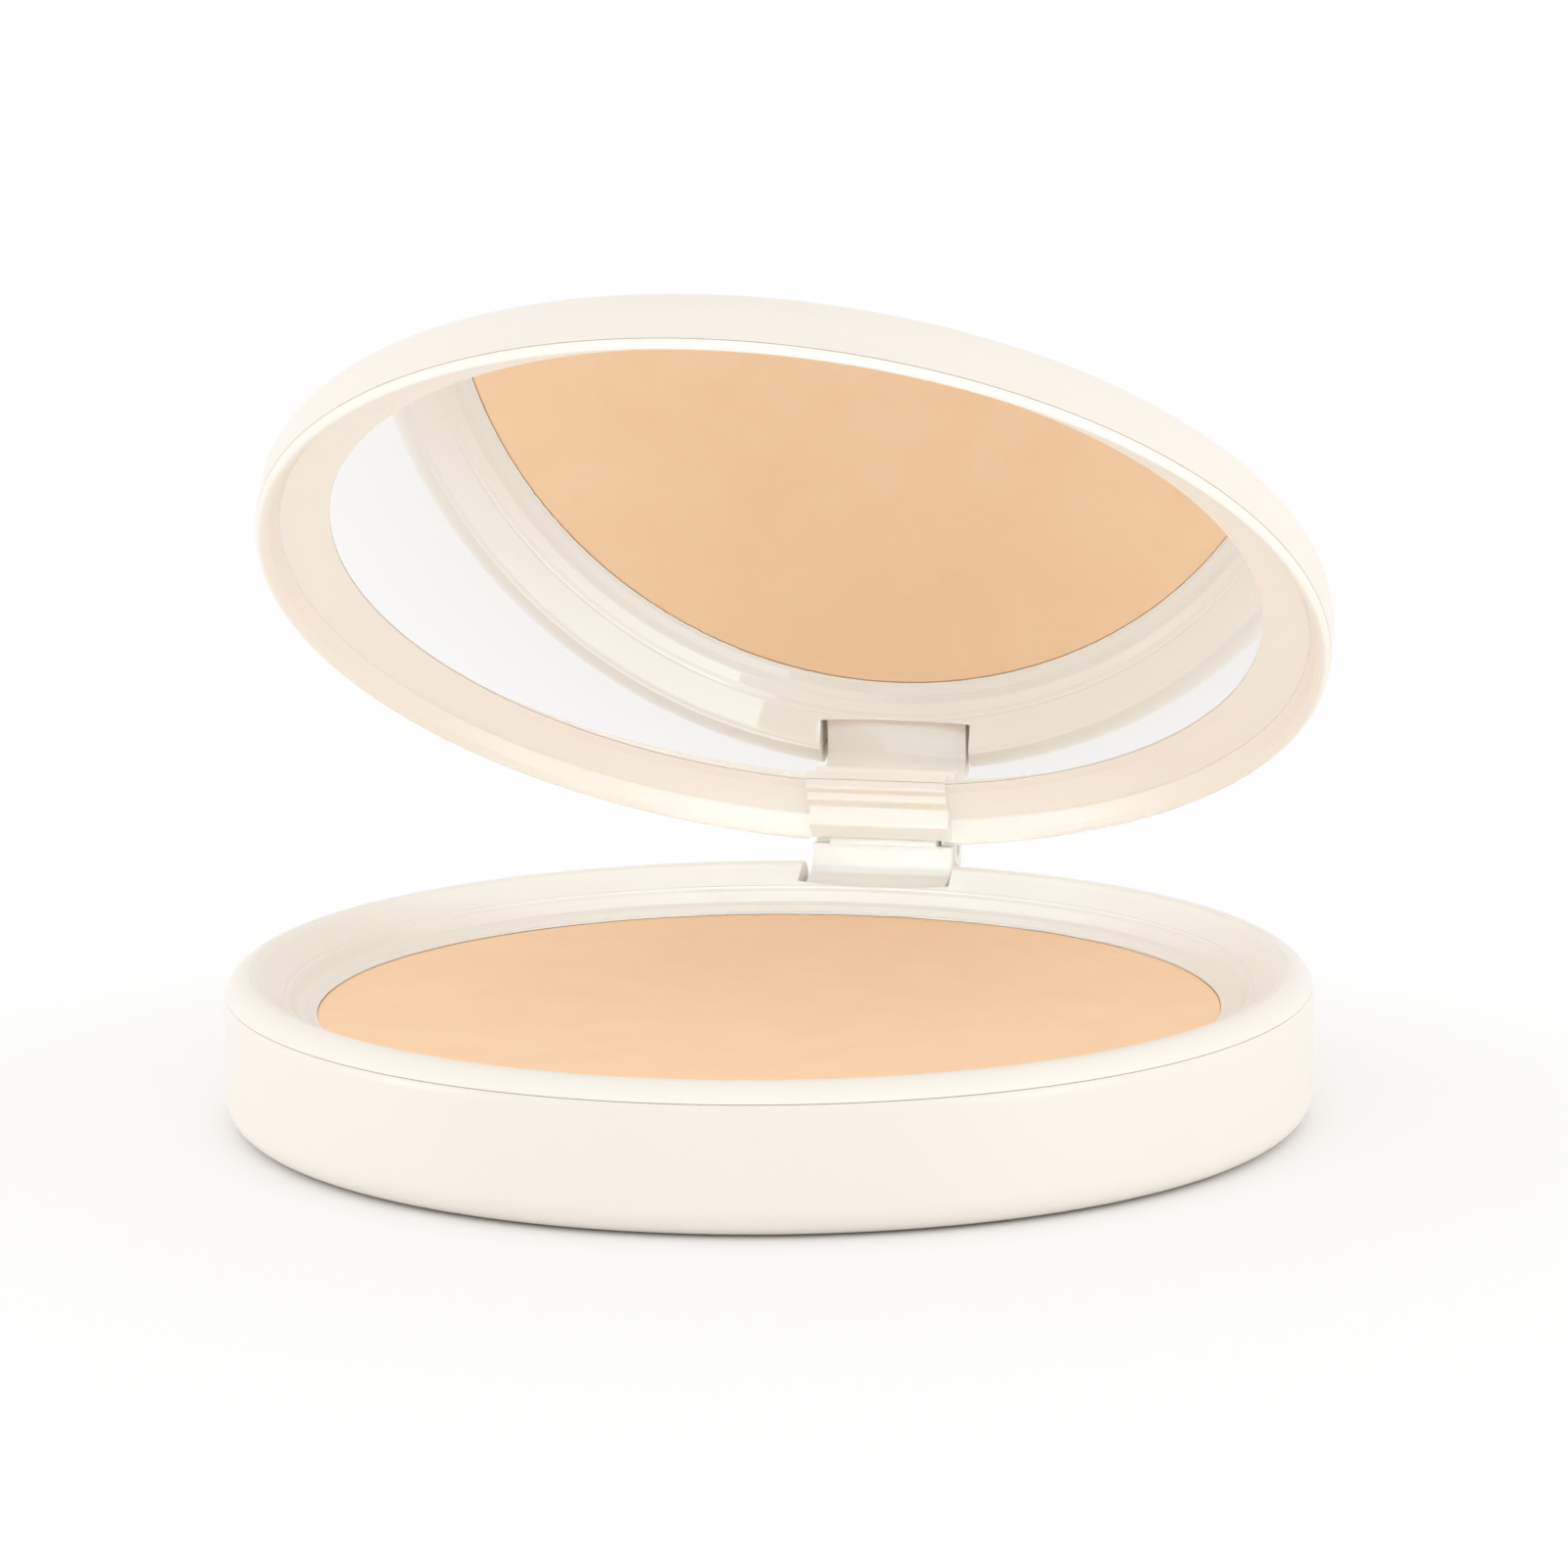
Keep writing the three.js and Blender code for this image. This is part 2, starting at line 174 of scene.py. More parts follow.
def outline(corners, closed):
    """Smooth outline through corners given as (across, up, corner radius), in millimetres."""
    count = len(corners)
    spots = [Vector(c[:2]) for c in corners]
    stretches = []
    for i in range(count):
        at_end = not closed and i in (0, count - 1)
        if at_end or corners[i][2] == 0:
            stretches.append([spots[i]])
        else:
            stretches.append(
                rounded_corner(spots[i - 1], spots[i], spots[(i + 1) % count], corners[i][2])
            )
    points = []
    for i, stretch in enumerate(stretches):
        points += stretch
        if i == count - 1 and not closed:
            break
        start, end = stretch[-1], stretches[(i + 1) % count][0]
        gap = (end - start).length
        if gap > 4 * SUPPORT:
            along = (end - start) / gap * SUPPORT
            points += [start + along, end - along]
    return points


def arc(centre_r, centre_z, radius, from_degrees, to_degrees, steps):
    """Corners on an arc; they are close enough together to need no rounding."""
    made = []
    for i in range(steps + 1):
        angle = math.radians(from_degrees + (to_degrees - from_degrees) * i / steps)
        made.append((centre_r + radius * math.cos(angle), centre_z + radius * math.sin(angle), 0))
    return made


# Meshes ------------------------------------------------------------------------------

def new_object(name, vertices, faces):
    """A mesh object from vertices in millimetres."""
    mesh = bpy.data.meshes.new(name)
    mesh.from_pydata([v * MM for v in vertices], [], faces)
    mesh.update()
    obj = bpy.data.objects.new(name, mesh)
    bpy.context.scene.collection.objects.link(obj)
    return obj


def lathe(name, points, closed, steps=RING_STEPS):
    """Turns an outline of (radius, height) points about the vertical axis."""
    vertices = []
    rings = []
    for r, z in points:
        if r < 1e-6:
            rings.append([len(vertices)] * steps)
            vertices.append(Vector((0, 0, z)))
            continue
        rings.append(list(range(len(vertices), len(vertices) + steps)))
        for k in range(steps):
            angle = 2 * math.pi * k / steps
            vertices.append(Vector((r * math.cos(angle), r * math.sin(angle), z)))
    pairs = list(zip(rings, rings[1:]))
    if closed:
        pairs.append((rings[-1], rings[0]))
    faces = []
    for low, high in pairs:
        for k in range(steps):
            n = (k + 1) % steps
            corner = (low[k], low[n], high[n], high[k])
            faces.append(tuple(dict.fromkeys(corner)))
    return new_object(name, vertices, faces)


def bar(name, points, from_x, to_x):
    """Pushes an outline of (y, z) points along X."""
    count = len(points)
    vertices = [Vector((x, p[0], p[1])) for x in (from_x, to_x) for p in points]
    faces = [tuple(range(count))[::-1], tuple(range(count, 2 * count))]
    for i in range(count):
        n = (i + 1) % count
        faces.append((i, n, count + n, count + i))
    return new_object(name, vertices, faces)


def round_bar(name, radius, from_x, to_x):
    """A round bar on the hinge axis."""
    points = []
    for i in range(BAR_STEPS):
        angle = 2 * math.pi * i / BAR_STEPS
        points.append((PIVOT_Y + radius * math.cos(angle), PIVOT_Z + radius * math.sin(angle)))
    return bar(name, points, from_x, to_x)


def take_result(obj):
    """Applies the object's modifiers to its mesh."""
    graph = bpy.context.evaluated_depsgraph_get()
    mesh = bpy.data.meshes.new_from_object(obj.evaluated_get(graph))
    obj.modifiers.clear()
    old = obj.data
    obj.data = mesh
    bpy.data.meshes.remove(old)


def combine(obj, other, operation):
    """Cuts other from obj, or joins it on, and removes other."""
    for each in (obj, other):
        facing_out(each)
    modifier = obj.modifiers.new("combine", "BOOLEAN")
    modifier.operation = operation
    modifier.solver = "EXACT"
    modifier.object = other
    take_result(obj)
    bpy.data.objects.remove(other)


def facing_out(obj):
    """Turns all faces so that they look outwards."""
    shape = bmesh.new()
    shape.from_mesh(obj.data)
    bmesh.ops.recalc_face_normals(shape, faces=shape.faces)
    shape.to_mesh(obj.data)
    shape.free()


def soften_edges(obj, width):
    """Rounds the edges that are still sharp."""
    shape = bmesh.new()
    shape.from_mesh(obj.data)
    bmesh.ops.remove_doubles(shape, verts=shape.verts, dist=0.004 * MM)
    bmesh.ops.dissolve_degenerate(shape, edges=shape.edges, dist=0.002 * MM)
    weight = shape.edges.layers.float.new("bevel_weight_edge")
    for edge in shape.edges:
        if edge.is_manifold and edge.calc_face_angle(0) > SHARP:
            edge[weight] = 1
    shape.to_mesh(obj.data)
    shape.free()
    modifier = obj.modifiers.new("soften", "BEVEL")
    modifier.limit_method = "WEIGHT"
    modifier.width = width * MM
    modifier.segments = 3
    modifier.use_clamp_overlap = True
    modifier.miter_outer = "MITER_ARC"
    modifier.harden_normals = False
    take_result(obj)


def finish_piece(obj, body, node, material, lid=False):
    """Smooth shading, place at rest, body and material of one piece; hides its CAD part."""
    if lid:
        obj.data.transform(TO_REST)
    facing_out(obj)
    for face in obj.data.polygons:
        face.use_smooth = True
    obj.data.set_sharp_from_angle(angle=SHARP)
    obj.data.materials.clear()
    obj.data.materials.append(material)
    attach(obj, body)
    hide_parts(node)
    return obj


# Materials ---------------------------------------------------------------------------

class Shader:
    """A principled material with helpers for its noise nodes."""

    def __init__(self, name):
        self.material = bpy.data.materials.new(name)
        self.material.use_nodes = True
        self.nodes = self.material.node_tree.nodes
        self.links = self.material.node_tree.links
        self.main = self.nodes["Principled BSDF"]
        self.where = self.nodes.new("ShaderNodeTexCoord").outputs["Object"]

    def set(self, **values):
        """Sets sockets of the principled shader: specular_ior_level stands for Specular IOR Level."""
        for name, value in values.items():
            socket = name.replace("_", " ").title().replace("Ior", "IOR")
            self.main.inputs[socket].default_value = value

    def noise(self, scale, detail=4.0, roughness=0.55):
        """Noise of a grain size given by scale, in cycles per metre."""
        node = self.nodes.new("ShaderNodeTexNoise")
        node.inputs["Scale"].default_value = scale
        node.inputs["Detail"].default_value = detail
        node.inputs["Roughness"].default_value = roughness
        self.links.new(self.where, node.inputs["Vector"])
        return node.outputs["Fac"]

    def ramp(self, value, stops):
        """Turns a noise value into a colour by stops of (value, colour)."""
        node = self.nodes.new("ShaderNodeValToRGB")
        elements = node.color_ramp.elements
        while len(elements) < len(stops):
            elements.new(0.5)
        for element, (position, colour) in zip(elements, stops):
            element.position = position
            element.color = (*colour, 1)
        self.links.new(value, node.inputs["Fac"])
        return node.outputs["Color"]

    def spread(self, value, low, high):
        """Maps a noise value onto a range of numbers."""
        node = self.nodes.new("ShaderNodeMapRange")
        node.inputs["From Min"].default_value = 0.3
        node.inputs["From Max"].default_value = 0.7
        node.inputs["To Min"].default_value = low
        node.inputs["To Max"].default_value = high
        self.links.new(value, node.inputs["Value"])
        return node.outputs["Result"]

    def mix(self, factor, first, second):
        """Blends two colours."""
        node = self.nodes.new("ShaderNodeMix")
        node.data_type = "RGBA"
        self.links.new(factor, node.inputs["Factor"])
        self.links.new(first, node.inputs["A"])
        self.links.new(second, node.inputs["B"])
        return node.outputs["Result"]

    def bump(self, height, strength, distance):
        """Raises the surface by a noise value; distance is in millimetres."""
        node = self.nodes.new("ShaderNodeBump")
        node.inputs["Strength"].default_value = strength
        node.inputs["Distance"].default_value = distance * MM
        self.links.new(height, node.inputs["Height"])
        self.links.new(node.outputs["Normal"], self.main.inputs["Normal"])

    def link(self, value, name):
        self.links.new(value, self.main.inputs[name])


def cream_plastic():
    """Moulded plastic: satin gloss, with a trace of flow in the colour and a very fine texture."""
    shader = Shader("cream_plastic")
    stops = [(0.3, (0.849, 0.796, 0.718)), (0.7, (0.857, 0.805, 0.727))]
    shader.link(shader.ramp(shader.noise(60, 2), stops), "Base Color")
    shader.link(shader.spread(shader.noise(700, 3), 0.29, 0.35), "Roughness")
    shader.bump(shader.noise(220, 2), 0.12, 0.02)
    shader.set(ior=1.47)
    return shader.material


def pressed_powder_material():
    """Matte powder cake: soft blotches with a fine grain over them."""
    shader = Shader("pressed_powder")
    blotches = shader.ramp(
        shader.noise(230, 3, 0.5),
        [(0.32, (0.94, 0.645, 0.405)), (0.5, (0.955, 0.665, 0.425)), (0.68, (0.965, 0.685, 0.445))],
    )
    grain = shader.ramp(
        shader.noise(4200, 5, 0.7),
        [(0.35, (0.925, 0.62, 0.38)), (0.65, (0.975, 0.7, 0.465))],
    )
    weight = shader.nodes.new("ShaderNodeMath")
    weight.operation = "MULTIPLY"
    weight.inputs[1].default_value = 0.5
    shader.links.new(shader.noise(1200, 2), weight.inputs[0])
    shader.link(shader.mix(weight.outputs["Value"], blotches, grain), "Base Color")
    shader.link(shader.spread(shader.noise(1500, 3), 0.82, 0.97), "Roughness")
    shader.bump(shader.noise(3800, 6, 0.75), 0.35, 0.03)
    shader.set(sheen_weight=0.06, specular_ior_level=0.3)
    return shader.material


def mirror_glass():
    """Silvered mirror with barely visible wiping marks."""
    shader = Shader("mirror")
    shader.set(base_color=(0.98, 0.983, 0.985, 1), metallic=1)
    shader.link(shader.spread(shader.noise(90, 3), 0.004, 0.012), "Roughness")
    return shader.material


def metal(name, colour, rough_low, rough_high, grain):
    """Bare metal with a fine grain in its gloss."""
    shader = Shader(name)
    shader.set(base_color=(*colour, 1), metallic=1)
    shader.link(shader.spread(shader.noise(grain, 4), rough_low, rough_high), "Roughness")
    shader.bump(shader.noise(grain * 4, 3), 0.1, 0.005)
    return shader.material


def soft_layer(name, pale, dark, grain, rough_low, rough_high):
    """Glue, tape and paper: a mottled colour with a soft surface."""
    shader = Shader(name)
    shader.link(shader.ramp(shader.noise(grain, 4), [(0.3, dark), (0.7, pale)]), "Base Color")
    shader.link(shader.spread(shader.noise(grain * 2, 3), rough_low, rough_high), "Roughness")
    shader.bump(shader.noise(grain * 5, 4), 0.15, 0.01)
    return shader.material


# Base ----------------------------------------------------------------------------------

def cut_notch(obj, notch):
    """Cuts the opening for the hinge through the back of a ring."""
    front, bottom, top = notch
    corners = [(front, bottom), (NOTCH_BACK, bottom), (NOTCH_BACK, top), (front, top)]
    points = outline([(y, z, NOTCH_ROUNDING) for y, z in corners], True)
    combine(obj, bar("notch", points, -HALF_NOTCH, HALF_NOTCH), "DIFFERENCE")


def drill_bore(obj):
    """Drills the hole for the hinge pin."""
    combine(obj, round_bar("bore", BORE, -BORE_HALF, BORE_HALF), "DIFFERENCE")


def shoulder_angle(height):
    """Degrees up the shoulder's arc at a given height."""
    return math.degrees(math.asin((height - SHOULDER_START) / SHOULDER))


def base_shell(material):
    """Outer cup of the base: flat floor, rounded foot and plain wall up to the seam."""
    seam_angle = shoulder_angle(BASE_SEAM - SEAM)
    corners = [
        (0, SHELL_BOTTOM, 0),
        *arc(OUTER - FOOT_RADIUS, SHELL_BOTTOM + FOOT_RADIUS, FOOT_RADIUS, -90, 0, FOOT_STEPS),
        *arc(OUTER - SHOULDER, SHOULDER_START, SHOULDER, 0, seam_angle, SHELL_SHOULDER_STEPS),
        (OUTER - SEAM_BEVEL, BASE_SEAM, 0),
        (INSIDE, BASE_SEAM, 0.1),
        (INSIDE, FLOOR_TOP, 1),
        (0, FLOOR_TOP, 0),
    ]
    obj = lathe("base_shell_visual", outline(corners, False), False)
    cut_notch(obj, BASE_NOTCH)
    soften_edges(obj, EDGE_ROUNDING)
    return finish_piece(obj, "base", "base_shell", material)


def base_tongue():
    """Side outline of the wall that rises from the dish to the front of the hinge."""
    return outline([
        (32, 7.2, 0), (34.1, 7.2, 0), (34.1, 8.1, 0.15), (36.05, 8.4, 0.2), (36.05, 11.1, 0.15),
        (35.4, 11.1, 0.12), (35.3, 10.85, 0.3), (35.3, 10.2, 0.6), (35.1, 9.62, 0.5),
        (34.55, 9.22, 0.8), (33.4, 8.93, 1.5), (32, 8.6, 0),
    ], True)


def base_web():
    """Side outline of the thicker middle of that wall and of the web behind it."""
    return outline([
        (35.6, 8.5, 0), (36.8, 8.85, 0.5), (38.2, 9.75, 0), (PIVOT_Y, PIVOT_Z, 0),
        (36.5, 11.25, 0), (36.3, 11.55, 0.2), (35.5, 11.55, 0.15), (35.42, 11.3, 0.1),
        (35.42, 9.8, 0),
    ], True)


def base_frame(material):
    """Tray of the base: pan well, dished ring, rounded shoulder and the hinge's middle knuckle."""
    seam = BASE_SEAM + SEAM
    seam_angle = shoulder_angle(seam + SEAM)
    inner_skirt = SKIRT - SNAP_SKIRT_WALL
    corners = [
        (0, TRAY_BOTTOM, 0),
        (TRAY_OUTSIDE, TRAY_BOTTOM, 0.3),
        (TRAY_OUTSIDE, FLANGE_UNDERSIDE, 0.2),
        (inner_skirt, FLANGE_UNDERSIDE, 0.2),
        (inner_skirt, SNAP_SKIRT_BOTTOM, 0.2),
        (SKIRT, SNAP_SKIRT_BOTTOM, 0.2),
        (SKIRT, seam, 0.1),
        (OUTER - SEAM_BEVEL, seam, 0),
        *arc(OUTER - SHOULDER, SHOULDER_START, SHOULDER, seam_angle, SHOULDER_END, SHOULDER_STEPS),
        (34.3, 10.08, 0.1),
        (34.18, 10.02, 0.06),
        (33.9, 9.99, 0.5),
        (32.2, 8.8, 0.1),
        (32.06, 8.77, 0.06),
        (31.98, 8.63, 0.06),
        (31.7, 8.46, 0.15),
        (31.2, 7.84, 0.25),
        (30.62, 7.66, 0.2),
        (30.1, 7.36, 0.2),
        (TRAY_LIP, 7.33, 0.04),
        (TRAY_LIP, 7.215, 0),
        (TRAY_INSIDE, 7.215, 0.05),
        (TRAY_INSIDE, TRAY_FLOOR, 0.3),
        (0, TRAY_FLOOR, 0),
    ]
    obj = lathe("base_frame_visual", outline(corners, False), False)
    cut_notch(obj, BASE_NOTCH)
    combine(obj, bar("tongue", base_tongue(), -HALF_HINGE, HALF_HINGE), "UNION")
    combine(obj, bar("web", base_web(), -HALF_KNUCKLE, HALF_KNUCKLE), "UNION")
    combine(obj, round_bar("barrel", BARREL, -HALF_KNUCKLE, HALF_KNUCKLE), "UNION")
    drill_bore(obj)
    soften_edges(obj, EDGE_ROUNDING)
    return finish_piece(obj, "base", "base_frame", material)


def plain_disc(name, radius, bottom, top, body, node, material, lid=False):
    """A flat round layer with slightly rounded edges: the label, the glue or the tape."""
    rounding = (top - bottom) * 0.3
    corners = [(0, bottom, 0), (radius, bottom, rounding), (radius, top, rounding), (0, top, 0)]
    obj = lathe(name, outline(corners, False), False)
    return finish_piece(obj, body, node, material, lid)


def powder_pan(material):
    """Pressed metal pan, open at the top."""
    inside = PAN_RADIUS - PAN_WALL
    corners = [
        (0, PAN_BOTTOM, 0),
        (PAN_RADIUS, PAN_BOTTOM, PAN_CORNER),
        (PAN_RADIUS, POWDER_TOP, 0.12),
        (inside, POWDER_TOP, 0.12),
        (inside, PAN_BOTTOM + PAN_WALL, PAN_CORNER),
        (0, PAN_BOTTOM + PAN_WALL, 0),
    ]
    obj = lathe("powder_pan_visual", outline(corners, False), False)
    return finish_piece(obj, "base", "powder_pan", material)


def powder_cake(material):
    """The cake's top is pressed flat, but not perfectly: it rises and falls by a few hundredths."""
    edge = POWDER_RADIUS - CAKE_EDGE
    top = [(edge * (CAKE_RINGS - i) / CAKE_RINGS, POWDER_TOP) for i in range(CAKE_RINGS + 1)]
    side = outline([
        (0, CAKE_BOTTOM, 0),
        (POWDER_RADIUS, CAKE_BOTTOM, PAN_CORNER),
        (POWDER_RADIUS, POWDER_TOP - 0.01, 0.15),
        (edge + 0.02, POWDER_TOP, 0),
    ], False)
    obj = lathe("pressed_powder_visual", [tuple(p) for p in side] + top, False)
    for vertex in obj.data.vertices:
        if vertex.co.z > (POWDER_TOP - 0.005) * MM:
            wide = noise.noise(vertex.co * 90) * CAKE_SWELL
            fine = noise.noise(vertex.co * 700) * CAKE_GRAIN
            vertex.co.z += (wide + fine - CAKE_SWELL) * MM
    return finish_piece(obj, "base", "pressed_powder", material)


def hinge_pin(material):
    """Steel pin with bevelled ends, laid along the hinge axis."""
    corners = [
        (0, -PIN_HALF, 0),
        (PIN_RADIUS, -PIN_HALF, PIN_BEVEL),
        (PIN_RADIUS, PIN_HALF, PIN_BEVEL),
        (0, PIN_HALF, 0),
    ]
    obj = lathe("hinge_pin_visual", outline(corners, False), False, BAR_STEPS)
    obj.data.transform(Matrix.Translation(PIVOT) @ Matrix.Rotation(math.pi / 2, 4, "Y"))
    return finish_piece(obj, "base", "hinge_pin", material)


# Lid, drawn closed ------------------------------------------------------------------------

def lid_shell(material):
    """Outer cover of the lid: flat top, rounded edge and plain wall, with a step inside."""
    seam = LID_SEAM + SEAM
    centre = OUTER - LID_FILLET
    corners = [
        (0, LID_CEILING, 0),
        (INSIDE, LID_CEILING, CEILING_CORNER),
        (INSIDE, REBATE_TOP, 0.1),
        (REBATE, REBATE_TOP, 0.2),
        (REBATE, seam, 0.1),
        (OUTER, seam, 0.06),
        *arc(centre, LID_TOP - LID_FILLET, LID_FILLET, 0, 90, LID_FILLET_STEPS),
        (0, LID_TOP, 0),
    ]
    obj = lathe("lid_shell_visual", outline(corners, False), False)
    cut_notch(obj, SHELL_NOTCH)
    soften_edges(obj, EDGE_ROUNDING)
    return finish_piece(obj, "lid", "lid_shell", material, True)


def lid_block():
    """Side outline of the stepped block between the mirror's edge and the hinge."""
    return outline([
        (30.7, BEZEL_FRONT, 0), (30.7, 11.7, 0.2), (31.3, 11.7, 0.03), (31.4, 11.78, 0.03),
        (31.65, 11.78, 0.1), (31.8, 11.3, 0.15), (32.8, 11.3, 0.1),
        (33.1, 10.9, 0.25), (33.3, 10.12, 0.25), (34.95, 9.95, 0.1), (35.05, 10.05, 0.1),
        (35.05, 11.22, 0), (34.2, 11.22, 0), (34.2, BEZEL_FRONT, 0),
    ], True)


def lid_arm():
    """Side outline of the arm from the block, over the base's wall, to an ear."""
    return outline([
        (34.2, 11.3, 0), (36.5, 11.3, 0), (37, 10.4, 0), (38.39, 9.63, 0.3), (39.17, 10.22, 0.4),
        (38.39, 11.32, 0.8), (PIVOT_Y, 11.79, 0.8), (36.3, 11.78, 0), (34.2, 11.75, 0),
    ], True)


def lid_frame(material):
    """Frame of the lid: rim, mirror bezel, stepped block and the hinge's two ears."""
    skirt_top = REBATE_TOP - 0.1
    corners = [
        (35.6, 9.81, 0.25),
        (RIM_OUTSIDE, 10.05, 0.3),
        (RIM_OUTSIDE, LID_SEAM, 0.06),
        (WIDE_SKIRT, LID_SEAM, 0.1),
        (WIDE_SKIRT, skirt_top, 0.2),
        (SKIRT, skirt_top, 0.1),
        (SKIRT, FRAME_BACK, 0.1),
        (POCKET_OUTSIDE, FRAME_BACK, 0.1),
        (POCKET_OUTSIDE, POCKET_TOP, 0.1),
        (POCKET_RADIUS, POCKET_TOP, 0.1),
        (POCKET_RADIUS, BEZEL_FRONT, 0.05),
        (BEZEL_RADIUS, BEZEL_FRONT, 0),
        (BEZEL_RADIUS, 12.28, 0.03),
        (32.1, 12.1, 0.3),
        (34.46, 11.27, 0.3),
        (34.54, 11.32, 0.04),
        (34.64, 11.2, 0.08),
        (35.02, 10.3, 0.3),
        (35.3, 10, 0.15),
    ]
    obj = lathe("lid_frame_visual", outline(corners, True), True)
    cut_notch(obj, FRAME_NOTCH)
    combine(obj, bar("block", lid_block(), -HALF_HINGE, HALF_HINGE), "UNION")
    for side in (-HALF_HINGE, HALF_HINGE - EAR):
        combine(obj, bar("arm", lid_arm(), side, side + EAR), "UNION")
        combine(obj, round_bar("ear", BARREL, side, side + EAR), "UNION")
    drill_bore(obj)
    soften_edges(obj, EDGE_ROUNDING)
    return finish_piece(obj, "lid", "lid_frame", material, True)


def mirror(material):
    """Round glass mirror held behind the bezel."""
    back = MIRROR_FRONT + MIRROR_THICKNESS
    corners = [
        (0, MIRROR_FRONT, 0),
        (MIRROR_RADIUS, MIRROR_FRONT, 0.12),
        (MIRROR_RADIUS, back, 0.05),
        (0, back, 0),
    ]
    obj = lathe("mirror_visual", outline(corners, False), False)
    return finish_piece(obj, "lid", "mirror", material, True)


# Floor, lights and camera --------------------------------------------------------------------

FLOOR_HALF = 3  # metres
FLOOR_GAP = 0.002  # millimetres that the floor lies under the compact


def floor():
    """A large pale floor."""
    corners = [(-1, -1), (1, -1), (1, 1), (-1, 1)]
    obj = new_object("floor", [Vector((x, y, -FLOOR_GAP)) for x, y in corners], [(0, 1, 2, 3)])
    obj.scale = (FLOOR_HALF / MM, FLOOR_HALF / MM, 1)
    shader = Shader("floor")
    stops = [(0.3, (0.965, 0.965, 0.965)), (0.7, (0.975, 0.975, 0.975))]
    shader.link(shader.ramp(shader.noise(3, 2), stops), "Base Color")
    shader.link(shader.spread(shader.noise(8, 2), 0.85, 0.95), "Roughness")
    obj.data.materials.append(shader.material)


def direction(azimuth, elevation):
    """Unit vector from the compact. Azimuth 0 is at the front, and 90 is to the right."""
    a, e = math.radians(azimuth), math.radians(elevation)
    return Vector((math.sin(a) * math.cos(e), -math.cos(a) * math.cos(e), math.sin(e)))


def area_light(name, out, distance, size, power, colour=(1, 1, 1)):
    """A soft box that faces the compact from a direction; its size is (width, height)."""
    data = bpy.data.lights.new(name, "AREA")
    data.shape = "RECTANGLE"
    data.size, data.size_y = size
    data.energy = power
    data.color = colour
    obj = bpy.data.objects.new(name, data)
    obj.location = out * distance
    obj.rotation_mode = "QUATERNION"
    obj.rotation_quaternion = out.to_track_quat("Z", "Y")
    bpy.context.scene.collection.objects.link(obj)
    return obj


def shine_only_on(light, pieces):
    """Light linking: the lamp reaches only these pieces."""
    receivers = bpy.data.collections.new(light.name + "_receivers")
    for piece in pieces:
        receivers.objects.link(piece)
    light.light_linking.receiver_collection = receivers


WORLD_STRENGTH = 1.03


def surroundings():
    """White surroundings and two weak low boxes that model the sides."""
    world = bpy.data.worlds.new("studio")
    world.use_nodes = True
    background = world.node_tree.nodes["Background"]
    background.inputs["Color"].default_value = (1, 1, 1, 1)
    background.inputs["Strength"].default_value = WORLD_STRENGTH
    bpy.context.scene.world = world
    area_light("left_box", direction(-62, 2), 0.4, (0.12, 0.06), 0.24)
    area_light("right_box", direction(68, 2), 0.4, (0.2, 0.06), 0.26)
    bpy.context.scene.view_settings.view_transform = "Standard"


BEAM_SPREAD = math.radians(6)
BEAM_AIM = Vector((0, 34, 9)) * MM  # the back of the tray


def inner_lamps(tray, cake, bezel):
    """Weak lamps for the inside of the open compact; the bluish ones offset the powder's glow."""
    lid_fill = area_light("lid_fill", direction(13, 4), 0.6, (0.3, 0.12), 0.9, (0.58, 0.87, 1))
    shine_only_on(lid_fill, [bezel])
    tray_fill = area_light("tray_fill", direction(13, 8), 0.6, (0.3, 0.12), 0.35, (0.6, 0.85, 1))
    shine_only_on(tray_fill, [tray])
    low = direction(0, 11)
    back_beam = area_light("back_beam", low, 0.15, (0.07, 0.005), 0.0009, (0.6, 0.84, 1))
    back_beam.location += BEAM_AIM
    back_beam.data.spread = BEAM_SPREAD
    back_beam.visible_camera = False
    back_beam.visible_glossy = False
    shine_only_on(back_beam, [tray, bezel])
    cake_fill = area_light("cake_fill", direction(13, 35), 0.6, (0.3, 0.3), 0.5)
    shine_only_on(cake_fill, [cake])


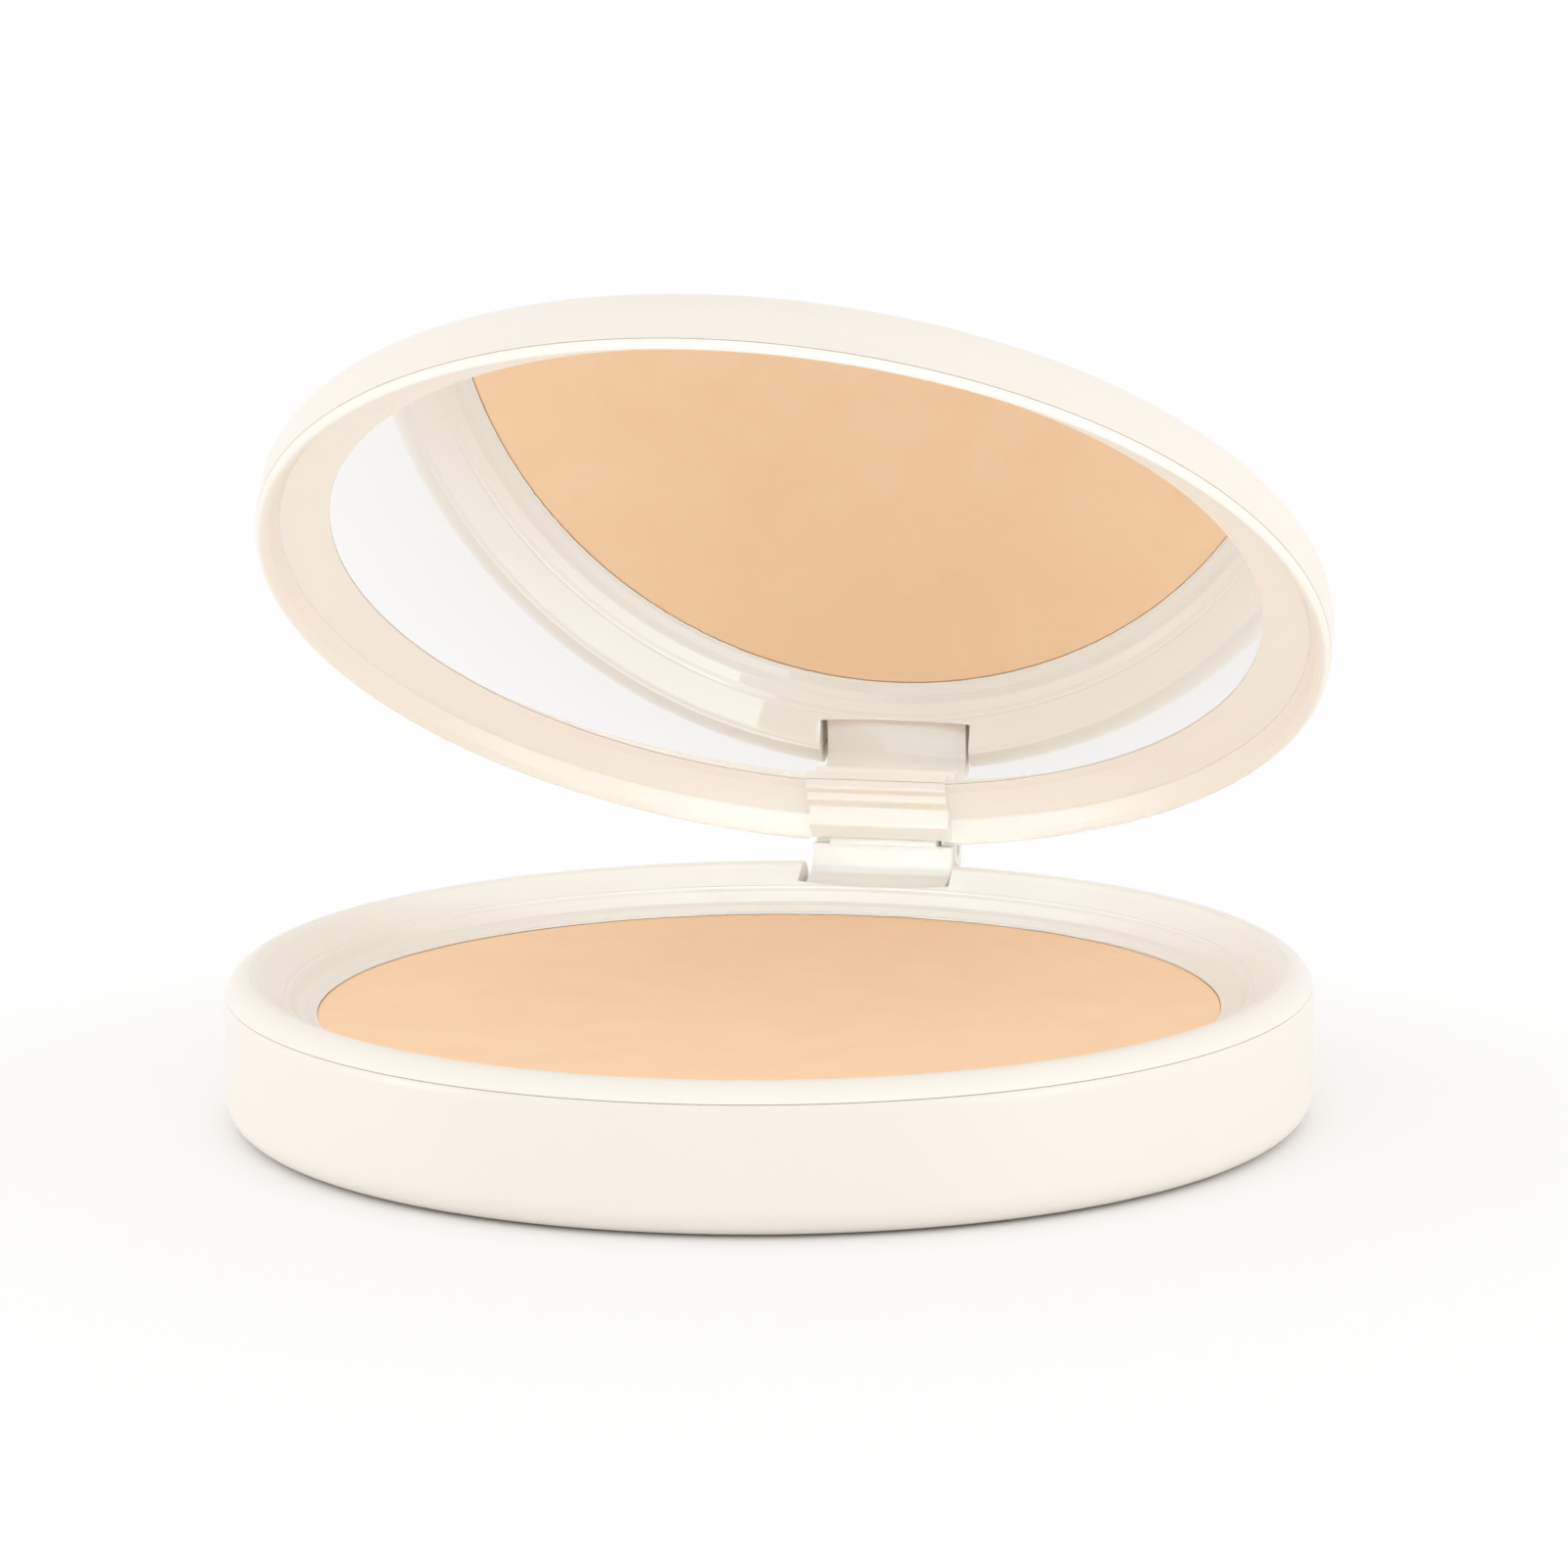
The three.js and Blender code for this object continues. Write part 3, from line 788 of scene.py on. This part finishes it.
# Camera: metres, degrees, and millimetres for the lens and its sensor
CAMERA_AZIMUTH = 13.13
CAMERA_ELEVATION = 12.07
CAMERA_DISTANCE = 0.58346
CAMERA_LENS = 202.65
CAMERA_SENSOR = 36
CAMERA_NEAR = 0.01
CAMERA_FAR = 20
AIM_HEIGHT = 0.01055
LOOK_RIGHT = 0.109
LOOK_UP = 1.122
ROLL = 0.485


def camera():
    """Camera at the photograph's viewing angle."""
    out = direction(CAMERA_AZIMUTH, CAMERA_ELEVATION)
    data = bpy.data.cameras.new("camera")
    data.sensor_width = CAMERA_SENSOR
    data.lens = CAMERA_LENS
    data.clip_start = CAMERA_NEAR
    data.clip_end = CAMERA_FAR
    obj = bpy.data.objects.new("camera", data)
    place = Vector((0, 0, AIM_HEIGHT)) + out * CAMERA_DISTANCE
    look = out.to_track_quat("Z", "Y").to_matrix().to_4x4()
    turn = (
        Matrix.Rotation(-math.radians(LOOK_RIGHT), 4, "Y")
        @ Matrix.Rotation(math.radians(LOOK_UP), 4, "X")
        @ Matrix.Rotation(-math.radians(ROLL), 4, "Z")
    )
    obj.matrix_world = Matrix.Translation(place) @ look @ turn
    bpy.context.scene.collection.objects.link(obj)
    bpy.context.scene.camera = obj


# Assembly ------------------------------------------------------------------------------------

camera()
surroundings()
floor()

plastic = cream_plastic()
glue = soft_layer("adhesive", (0.86, 0.84, 0.77), (0.8, 0.77, 0.68), 300, 0.5, 0.7)
paper = soft_layer("label_paper", (0.93, 0.92, 0.89), (0.9, 0.89, 0.85), 1500, 0.55, 0.7)

base_shell(plastic)
tray = base_frame(plastic)
powder_pan(metal("pan_metal", (0.78, 0.79, 0.8), 0.28, 0.4, 400))
cake = powder_cake(pressed_powder_material())
hinge_pin(metal("pin_metal", (0.66, 0.67, 0.68), 0.18, 0.3, 900))
plain_disc(
    "base_label_visual", LABEL_RADIUS, 0, LABEL_TOP, "base", "base_label", paper
)
plain_disc(
    "pan_glue_visual", GLUE_RADIUS, GLUE_BOTTOM, GLUE_TOP, "base", "pan_glue", glue
)
lid_shell(plastic)
bezel = lid_frame(plastic)
mirror(mirror_glass())
plain_disc(
    "mirror_tape_visual", TAPE_RADIUS, TAPE_BOTTOM, TAPE_TOP, "lid", "mirror_tape",
    glue, True
)
inner_lamps(tray, cake, bezel)
